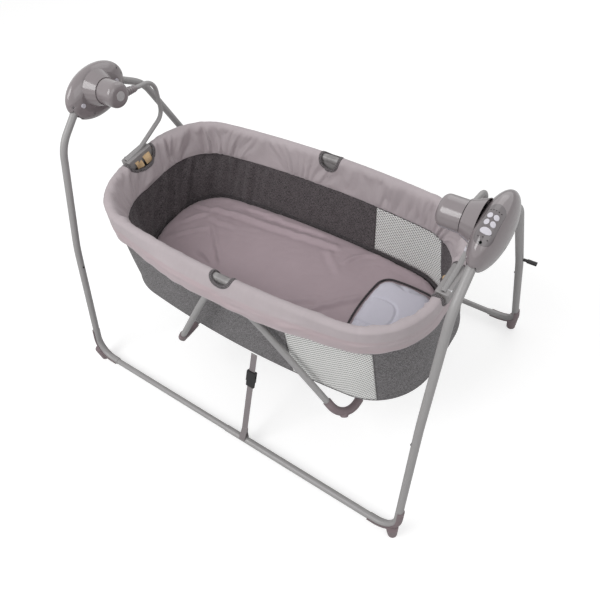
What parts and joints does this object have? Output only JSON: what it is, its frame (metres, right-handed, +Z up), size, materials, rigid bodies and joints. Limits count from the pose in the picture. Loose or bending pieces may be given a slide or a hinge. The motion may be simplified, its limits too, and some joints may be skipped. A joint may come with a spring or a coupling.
{
  "type": "baby cradle",
  "caption": "Swinging baby cradle: a padded fabric bassinet hung on two arms between hubs of a folding tube stand, with fold-out legs, a mattress and a pillow.",
  "frame": {"origin": "on the floor, under the middle of the stand", "axes": "+X along the cradle to the hub with the controls, +Y to the rear, +Z up"},
  "size_m": [1.2, 0.798, 0.8587],
  "materials": {
    "hub_plastic": "glossy moulded taupe plastic",
    "panel_plastic": "satin dark grey plastic",
    "steel": "zinc plated steel",
    "circuit": "solder mask",
    "black_plastic": "moulded black plastic",
    "copper": "enamelled wire",
    "frame_tube": "satin grey powder coat",
    "foot_rubber": "mauve brown rubber",
    "grey_plastic": "light grey moulded plastic",
    "cap_plastic": "pale grey moulded plastic",
    "button_plastic": "lavender white plastic",
    "rim_fabric": "padded mauve woven cloth",
    "wall_fabric": "grey melange cloth",
    "window_mesh": "open knitted mesh",
    "lining_fabric": "dark melange cloth",
    "board": "plain stiff board",
    "mattress_fabric": "mauve cotton cover",
    "pillow_fabric": "pale lavender cotton",
    "webbing": "ribbed nylon webbing"
  },
  "bodies": {
    "root": {"left_hub_outer_cover": "hub_plastic", "right_hub_outer_cover": "hub_plastic", "left_hub_inner_shell": "hub_plastic", "right_hub_inner_shell": "hub_plastic", "control_panel": "panel_plastic", "shaft_bearings": "steel", "leg_pivot_pins": "steel", "hub_screws": "steel", "circuit_board": "circuit", "speaker": "black_plastic", "drive_coil": "copper"},
    "front_frame": {"front_upper_legs": "frame_tube", "front_left_lower_leg": "frame_tube", "front_right_lower_leg": "frame_tube", "front_rail": "frame_tube", "front_feet": "foot_rubber", "front_snap_buttons": "black_plastic", "lower_strap": "webbing", "buckle_prong": "black_plastic"},
    "rear_frame": {"rear_upper_legs": "frame_tube", "rear_left_lower_leg": "frame_tube", "rear_right_lower_leg": "frame_tube", "rear_rail": "frame_tube", "rear_feet": "foot_rubber", "rear_snap_buttons": "black_plastic", "rear_leg_peg": "black_plastic"},
    "cradle": {"left_drum": "grey_plastic", "right_drum": "grey_plastic", "drum_caps": "cap_plastic", "swing_shafts": "steel", "left_swing_arm": "frame_tube", "right_swing_arm": "frame_tube", "arm_screws": "steel", "rim_clips": "grey_plastic", "rim_tube": "frame_tube", "leg_locks": "grey_plastic", "rim_cover": "rim_fabric", "outer_wall": "wall_fabric", "mesh_windows": "window_mesh", "inner_lining": "lining_fabric", "base_board": "board", "mattress": "mattress_fabric", "pillow": "pillow_fabric", "upper_strap": "webbing", "buckle_socket": "black_plastic"},
    "left_leg": {"left_cradle_leg": "frame_tube", "left_leg_feet": "foot_rubber"},
    "right_leg": {"right_cradle_leg": "frame_tube", "right_leg_feet": "foot_rubber"},
    "power_key": {"power_button": "button_plastic"},
    "speed_key": {"speed_button": "button_plastic"},
    "timer_key": {"timer_button": "button_plastic"},
    "music_key": {"music_button": "button_plastic"},
    "volume_key": {"volume_button": "button_plastic"},
    "left_front_release_key": {"left_front_release": "button_plastic"},
    "left_rear_release_key": {"left_rear_release": "button_plastic"},
    "left_clip_key": {"left_clip_button": "button_plastic"},
    "right_front_release_key": {"right_front_release": "button_plastic"},
    "right_rear_release_key": {"right_rear_release": "button_plastic"},
    "right_clip_key": {"right_clip_button": "button_plastic"}
  },
  "joints": [
    {"name": "front_fold", "type": "hinge", "parent": "root", "child": "front_frame", "pos_m": [0, -0.062, 0.792], "axis": [1, 0, 0], "range_deg": [0, 25]},
    {"name": "rear_fold", "type": "hinge", "parent": "root", "child": "rear_frame", "pos_m": [0, 0.062, 0.792], "axis": [1, 0, 0], "range_deg": [-25, 0]},
    {"name": "cradle_swing", "type": "hinge", "parent": "root", "child": "cradle", "pos_m": [0, 0, 0.806], "axis": [1, 0, 0], "range_deg": [-15, 15]},
    {"name": "left_leg_fold", "type": "hinge", "parent": "cradle", "child": "left_leg", "pos_m": [-0.0063, 0, 0.561], "axis": [0, 1, 0], "range_deg": [0, 17]},
    {"name": "right_leg_fold", "type": "hinge", "parent": "cradle", "child": "right_leg", "pos_m": [0.0714, 0, 0.561], "axis": [0, 1, 0], "range_deg": [-11, 0]},
    {"name": "power_press", "type": "slide", "parent": "root", "child": "power_key", "axis": [0, 0.2588, -0.9659], "range_m": [0, 0.0012], "stiffness_N_per_m": 200},
    {"name": "speed_press", "type": "slide", "parent": "root", "child": "speed_key", "axis": [0, 0.2588, -0.9659], "range_m": [0, 0.0012], "stiffness_N_per_m": 200},
    {"name": "timer_press", "type": "slide", "parent": "root", "child": "timer_key", "axis": [0, 0.2588, -0.9659], "range_m": [0, 0.0012], "stiffness_N_per_m": 200},
    {"name": "music_press", "type": "slide", "parent": "root", "child": "music_key", "axis": [0, 0.2588, -0.9659], "range_m": [0, 0.0012], "stiffness_N_per_m": 200},
    {"name": "volume_press", "type": "slide", "parent": "root", "child": "volume_key", "axis": [0, 0.2588, -0.9659], "range_m": [0, 0.0012], "stiffness_N_per_m": 200},
    {"name": "left_front_release_press", "type": "slide", "parent": "root", "child": "left_front_release_key", "axis": [-1, 0, 0], "range_m": [0, 0.0025], "stiffness_N_per_m": 300},
    {"name": "left_rear_release_press", "type": "slide", "parent": "root", "child": "left_rear_release_key", "axis": [-1, 0, 0], "range_m": [0, 0.0025], "stiffness_N_per_m": 300},
    {"name": "left_clip_press", "type": "slide", "parent": "cradle", "child": "left_clip_key", "axis": [1, 0, 0], "range_m": [0, 0.002], "stiffness_N_per_m": 300},
    {"name": "right_front_release_press", "type": "slide", "parent": "root", "child": "right_front_release_key", "axis": [1, 0, 0], "range_m": [0, 0.0025], "stiffness_N_per_m": 300},
    {"name": "right_rear_release_press", "type": "slide", "parent": "root", "child": "right_rear_release_key", "axis": [1, 0, 0], "range_m": [0, 0.0025], "stiffness_N_per_m": 300},
    {"name": "right_clip_press", "type": "slide", "parent": "cradle", "child": "right_clip_key", "axis": [-1, 0, 0], "range_m": [0, 0.002], "stiffness_N_per_m": 300}
  ]
}
